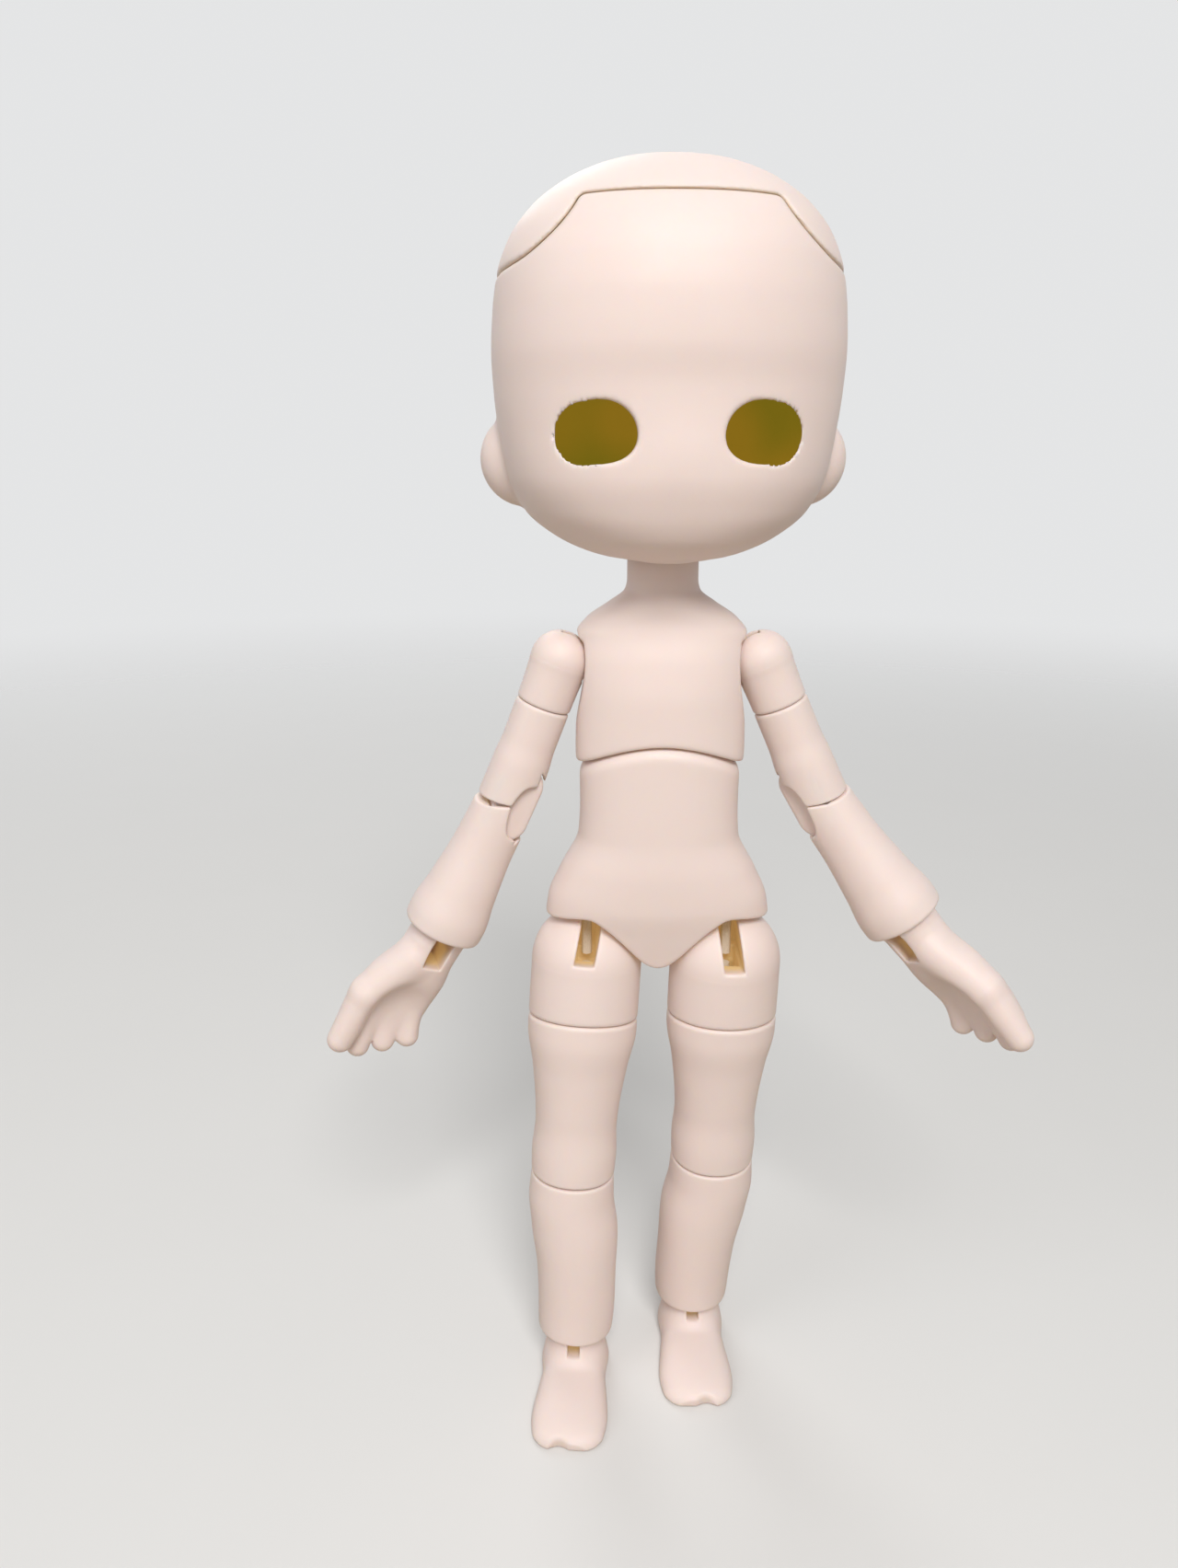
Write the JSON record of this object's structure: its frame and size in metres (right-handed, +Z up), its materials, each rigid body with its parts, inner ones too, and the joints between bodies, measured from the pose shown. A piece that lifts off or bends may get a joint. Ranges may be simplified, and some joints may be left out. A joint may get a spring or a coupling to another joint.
{
  "type": "ball-jointed doll",
  "caption": "Blank resin doll strung on elastic cord: ball shoulders, hips, wrists and ankles, double-hinged elbows and knees, and a hollow head with a lift-off cap.",
  "frame": {"origin": "middle of the bounding box in X and Y, on the plane of the soles", "axes": "+Z up the standing doll; the doll looks along -Y, and its left arm is on the +X side"},
  "size_m": [0.091, 0.0406, 0.1592],
  "materials": {
    "resin": "satin cast resin, cream, slightly translucent",
    "cord": "white braided elastic",
    "hook_wire": "bare bent wire",
    "magnet": "nickel-plated disc"
  },
  "bodies": {
    "pelvis": {"pelvis": "resin", "cord_in_pelvis": "cord"},
    "waist_cord": {"cord_at_waist": "cord"},
    "chest": {"chest": "resin", "leg_cord_in_chest": "cord", "arm_cord_in_chest": "cord"},
    "neck_cord": {"cord_at_neck": "cord"},
    "neck_hook": {"neck_hook": "hook_wire"},
    "head": {"face_shell": "resin", "face_magnet_right": "magnet", "face_magnet_left": "magnet"},
    "head_cap": {"head_cap": "resin", "cap_magnet_right": "magnet", "cap_magnet_left": "magnet"},
    "shoulder_cord_right": {"cord_at_shoulder_right": "cord"},
    "shoulder_right": {"shoulder_cap_right": "resin", "cord_in_shoulder_right": "cord"},
    "upper_arm_right": {"upper_arm_right": "resin", "cord_in_upper_arm_right": "cord"},
    "elbow_right": {"elbow_link_right": "resin", "cord_in_elbow_right": "cord"},
    "forearm_right": {"forearm_right": "resin", "cord_in_forearm_right": "cord"},
    "hand_hook_right": {"hand_hook_right": "hook_wire"},
    "hand_right": {"hand_right": "resin"},
    "hip_cord_right": {"cord_at_hip_right": "cord"},
    "hip_right": {"hip_ball_right": "resin", "cord_in_hip_right": "cord"},
    "thigh_right": {"thigh_right": "resin", "cord_in_thigh_right": "cord"},
    "knee_right": {"knee_link_right": "resin", "cord_in_knee_right": "cord"},
    "shin_right": {"shin_right": "resin", "cord_in_shin_right": "cord"},
    "foot_hook_right": {"foot_hook_right": "hook_wire"},
    "foot_right": {"foot_right": "resin"},
    "shoulder_cord_left": {"cord_at_shoulder_left": "cord"},
    "shoulder_left": {"shoulder_cap_left": "resin", "cord_in_shoulder_left": "cord"},
    "upper_arm_left": {"upper_arm_left": "resin", "cord_in_upper_arm_left": "cord"},
    "elbow_left": {"elbow_link_left": "resin", "cord_in_elbow_left": "cord"},
    "forearm_left": {"forearm_left": "resin", "cord_in_forearm_left": "cord"},
    "hand_hook_left": {"hand_hook_left": "hook_wire"},
    "hand_left": {"hand_left": "resin"},
    "hip_cord_left": {"cord_at_hip_left": "cord"},
    "hip_left": {"hip_ball_left": "resin", "cord_in_hip_left": "cord"},
    "thigh_left": {"thigh_left": "resin", "cord_in_thigh_left": "cord"},
    "knee_left": {"knee_link_left": "resin", "cord_in_knee_left": "cord"},
    "shin_left": {"shin_left": "resin", "cord_in_shin_left": "cord"},
    "foot_hook_left": {"foot_hook_left": "hook_wire"},
    "foot_left": {"foot_left": "resin"}
  },
  "joints": [
    {"name": "waist_bend", "type": "hinge", "parent": "pelvis", "child": "waist_cord", "pos_m": [-0.00238, -0.00068, 0.08106], "axis": [1, 0, 0], "range_deg": [-15, 15]},
    {"name": "waist_turn", "type": "hinge", "parent": "waist_cord", "child": "chest", "pos_m": [-0.00238, -0.00068, 0.08106], "axis": [0, 0, 1], "range_deg": [-20, 20]},
    {"name": "neck_turn", "type": "hinge", "parent": "chest", "child": "neck_cord", "pos_m": [-0.00238, -0.00068, 0.11686], "axis": [0, 0, 1], "range_deg": [-60, 60]},
    {"name": "neck_tilt", "type": "hinge", "parent": "neck_cord", "child": "neck_hook", "pos_m": [-0.00238, -0.00068, 0.11686], "axis": [-0.0349, 0.9994, 0], "range_deg": [-6, 6]},
    {"name": "neck_nod", "type": "hinge", "parent": "neck_hook", "child": "head", "pos_m": [-0.00238, -0.00068, 0.11686], "axis": [0.9994, 0.0349, 0], "range_deg": [-12, 15]},
    {"name": "cap_lift", "type": "slide", "parent": "head", "child": "head_cap", "axis": [-0.0185, 0.5296, 0.848], "range_m": [0, 0.025]},
    {"name": "shoulder_swing_right", "type": "hinge", "parent": "chest", "child": "shoulder_cord_right", "pos_m": [-0.01498, -0.00068, 0.10326], "axis": [-1, 0, 0], "range_deg": [-40, 100]},
    {"name": "shoulder_raise_right", "type": "hinge", "parent": "shoulder_cord_right", "child": "shoulder_right", "pos_m": [-0.01498, -0.00068, 0.10326], "axis": [0, -1, 0], "range_deg": [-50, 4]},
    {"name": "upper_arm_turn_right", "type": "hinge", "parent": "shoulder_right", "child": "upper_arm_right", "pos_m": [-0.01498, -0.00068, 0.10326], "axis": [0.3584, 0, 0.9336], "range_deg": [-90, 90]},
    {"name": "elbow_upper_right", "type": "hinge", "parent": "upper_arm_right", "child": "elbow_right", "pos_m": [-0.02028, -0.00053, 0.0874], "axis": [0.1941, -0.9781, -0.0745], "range_deg": [-4, 16]},
    {"name": "elbow_lower_right", "type": "hinge", "parent": "elbow_right", "child": "forearm_right", "pos_m": [-0.0223, -0.00058, 0.08283], "axis": [0.1941, -0.9781, -0.0745], "range_deg": [-4, 24]},
    {"name": "wrist_turn_right", "type": "hinge", "parent": "forearm_right", "child": "hand_hook_right", "pos_m": [-0.03041, -0.0011, 0.06845], "axis": [0.4519, 0.0217, 0.8918], "range_deg": [-90, 90]},
    {"name": "wrist_bend_right", "type": "hinge", "parent": "hand_hook_right", "child": "hand_right", "pos_m": [-0.03041, -0.0011, 0.06845], "axis": [-0.8352, -0.3409, 0.4315], "range_deg": [-18, 20]},
    {"name": "hip_spread_right", "type": "hinge", "parent": "pelvis", "child": "hip_cord_right", "pos_m": [-0.01168, -0.00068, 0.06286], "axis": [0, -1, 0], "range_deg": [-20, 2]},
    {"name": "hip_flex_right", "type": "hinge", "parent": "hip_cord_right", "child": "hip_right", "pos_m": [-0.01168, -0.00068, 0.06286], "axis": [-0.998, 0, 0.0628], "range_deg": [-12, 54]},
    {"name": "thigh_turn_right", "type": "hinge", "parent": "hip_right", "child": "thigh_right", "pos_m": [-0.01219, -0.00129, 0.0547], "axis": [0.0611, 0.2284, 0.9717], "range_deg": [-55, 20]},
    {"name": "knee_upper_right", "type": "hinge", "parent": "thigh_right", "child": "knee_right", "pos_m": [-0.01345, -0.00125, 0.03468], "axis": [0.998, 0, -0.0628], "range_deg": [0, 55]},
    {"name": "knee_lower_right", "type": "hinge", "parent": "knee_right", "child": "shin_right", "pos_m": [-0.01385, -0.00172, 0.02831], "axis": [0.998, 0, -0.0628], "range_deg": [0, 55]},
    {"name": "ankle_turn_right", "type": "hinge", "parent": "shin_right", "child": "foot_hook_right", "pos_m": [-0.01332, -0.00471, 0.008], "axis": [-0.0626, -0.0732, -0.9953], "range_deg": [-30, 30]},
    {"name": "foot_pitch_right", "type": "hinge", "parent": "foot_hook_right", "child": "foot_right", "pos_m": [-0.01332, -0.00471, 0.008], "axis": [-0.9976, 0.0698, 0], "range_deg": [-15, 15]},
    {"name": "shoulder_swing_left", "type": "hinge", "parent": "chest", "child": "shoulder_cord_left", "pos_m": [0.01022, -0.00068, 0.10326], "axis": [-1, 0, 0], "range_deg": [-40, 100]},
    {"name": "shoulder_raise_left", "type": "hinge", "parent": "shoulder_cord_left", "child": "shoulder_left", "pos_m": [0.01022, -0.00068, 0.10326], "axis": [0, 1, 0], "range_deg": [-50, 4]},
    {"name": "upper_arm_turn_left", "type": "hinge", "parent": "shoulder_left", "child": "upper_arm_left", "pos_m": [0.01022, -0.00068, 0.10326], "axis": [0.4067, 0, -0.9135], "range_deg": [-90, 90]},
    {"name": "elbow_upper_left", "type": "hinge", "parent": "upper_arm_left", "child": "elbow_left", "pos_m": [0.01646, -0.00025, 0.08775], "axis": [0.524, 0.8192, 0.2333], "range_deg": [0, 38]},
    {"name": "elbow_lower_left", "type": "hinge", "parent": "elbow_left", "child": "forearm_left", "pos_m": [0.01896, -0.00063, 0.08344], "axis": [0.524, 0.8192, 0.2333], "range_deg": [0, 50]},
    {"name": "wrist_turn_left", "type": "hinge", "parent": "forearm_left", "child": "hand_hook_left", "pos_m": [0.0291, -0.00349, 0.07072], "axis": [0.5866, -0.1485, -0.7962], "range_deg": [-90, 90]},
    {"name": "wrist_bend_left", "type": "hinge", "parent": "hand_hook_left", "child": "hand_left", "pos_m": [0.0291, -0.00349, 0.07072], "axis": [-0.4609, 0.7472, -0.4789], "range_deg": [-18, 20]},
    {"name": "hip_spread_left", "type": "hinge", "parent": "pelvis", "child": "hip_cord_left", "pos_m": [0.00692, -0.00068, 0.06286], "axis": [0, 1, 0], "range_deg": [-20, 2]},
    {"name": "hip_flex_left", "type": "hinge", "parent": "hip_cord_left", "child": "hip_left", "pos_m": [0.00692, -0.00068, 0.06286], "axis": [-0.9998, 0, 0.0209], "range_deg": [-12, 54]},
    {"name": "thigh_turn_left", "type": "hinge", "parent": "hip_left", "child": "thigh_left", "pos_m": [0.00675, -0.00021, 0.05467], "axis": [-0.0208, -0.0987, -0.9949], "range_deg": [-55, 20]},
    {"name": "knee_upper_left", "type": "hinge", "parent": "thigh_left", "child": "knee_left", "pos_m": [0.00634, 0.00245, 0.0348], "axis": [0.9998, 0, -0.0209], "range_deg": [0, 55]},
    {"name": "knee_lower_left", "type": "hinge", "parent": "knee_left", "child": "shin_left", "pos_m": [0.0062, 0.00283, 0.02841], "axis": [0.9998, 0, -0.0209], "range_deg": [0, 55]},
    {"name": "ankle_turn_left", "type": "hinge", "parent": "shin_left", "child": "foot_hook_left", "pos_m": [0.00398, 0.00252, 0.008], "axis": [0.0209, -0.0582, 0.9981], "range_deg": [-30, 30]},
    {"name": "foot_pitch_left", "type": "hinge", "parent": "foot_hook_left", "child": "foot_left", "pos_m": [0.00398, 0.00252, 0.008], "axis": [-1, 0, 0], "range_deg": [-15, 15]}
  ]
}
